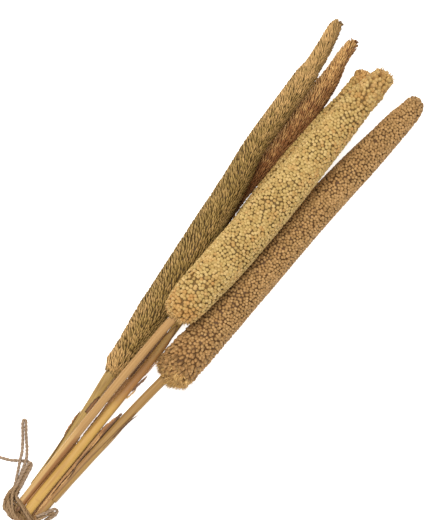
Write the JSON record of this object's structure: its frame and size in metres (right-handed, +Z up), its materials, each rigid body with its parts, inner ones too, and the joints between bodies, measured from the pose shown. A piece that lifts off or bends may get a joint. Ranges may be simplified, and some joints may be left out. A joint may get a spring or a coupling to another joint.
{
  "type": "tied bunch of dried millet spikes",
  "caption": "Dried millet spikes with dense cylindrical heads on bare stems, lying in a loose pile and tied at their cut ends with jute twine in a bow.",
  "frame": {"origin": "on the surface under the middle of the bunch's box, without the twine's free loops and tail", "axes": "+Y along the bunch from its cut ends to its tips, +Z up from the surface that it lies on"},
  "size_m": [0.1106, 0.4813, 0.0604],
  "materials": {
    "olive_spikelets": "dry, matte, slightly silky husks",
    "red_spikelets": "dry, matte husks",
    "pale_spikelets": "dry, matte, rounded husks",
    "brown_spikelets": "dry, matte, rounded husks",
    "tan_stem": "dry straw with a soft sheen along its fibres",
    "orange_stem": "dry straw with a soft sheen along its fibres",
    "orange_sheath": "dried leaf sheath, finely ribbed",
    "dark_sheath": "dried, darkened leaf sheath with torn edges",
    "jute_twine": "rough two-ply jute, hairy"
  },
  "bodies": {
    "root": {"head_left": "olive_spikelets", "head_red": "red_spikelets", "head_front": "pale_spikelets", "head_behind": "pale_spikelets", "head_right": "brown_spikelets", "stem_left": "tan_stem", "stem_red": "tan_stem", "stem_front": "tan_stem", "stem_behind": "orange_stem", "stem_right": "tan_stem", "sheath_left": "tan_stem", "scrap_left": "dark_sheath", "sheath_behind": "orange_sheath", "sheath_right": "dark_sheath", "sliver_right": "tan_stem", "twine_wraps": "jute_twine", "twine_knot": "jute_twine", "twine_tall_loop": "jute_twine", "twine_short_loop": "jute_twine", "twine_right_loop": "jute_twine", "twine_tail": "jute_twine"}
  },
  "joints": []
}
